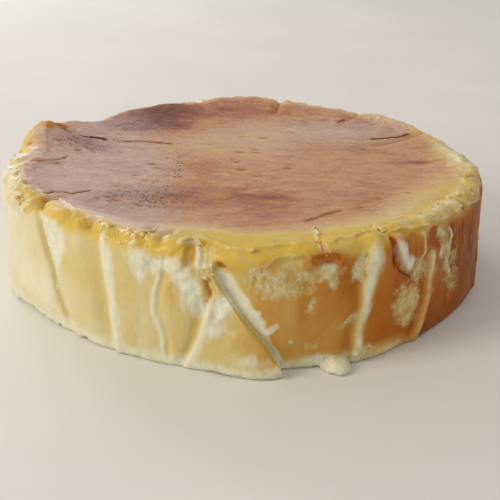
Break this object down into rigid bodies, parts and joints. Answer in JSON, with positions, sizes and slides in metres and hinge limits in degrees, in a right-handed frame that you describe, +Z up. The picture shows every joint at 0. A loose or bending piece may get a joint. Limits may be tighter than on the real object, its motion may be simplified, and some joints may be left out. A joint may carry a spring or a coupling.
{
  "type": "basque burnt cheesecake",
  "caption": "Whole round baked cheesecake with a dark browned top, a rolled rim and pale sides printed by the folds of its lining paper, standing on its base.",
  "frame": {"origin": "middle of the box round the cake, on the flat base it stands on", "axes": "+Z up; the side that the picture shows faces -Y, with +X to its right"},
  "size_m": [0.2394, 0.2406, 0.0621],
  "materials": {
    "baked_cheesecake": "baked custard: satin browned crust on top, smooth golden skin on the sides, pale porous crumb where the skin peeled"
  },
  "bodies": {
    "root": {"cheesecake": "baked_cheesecake"}
  },
  "joints": []
}
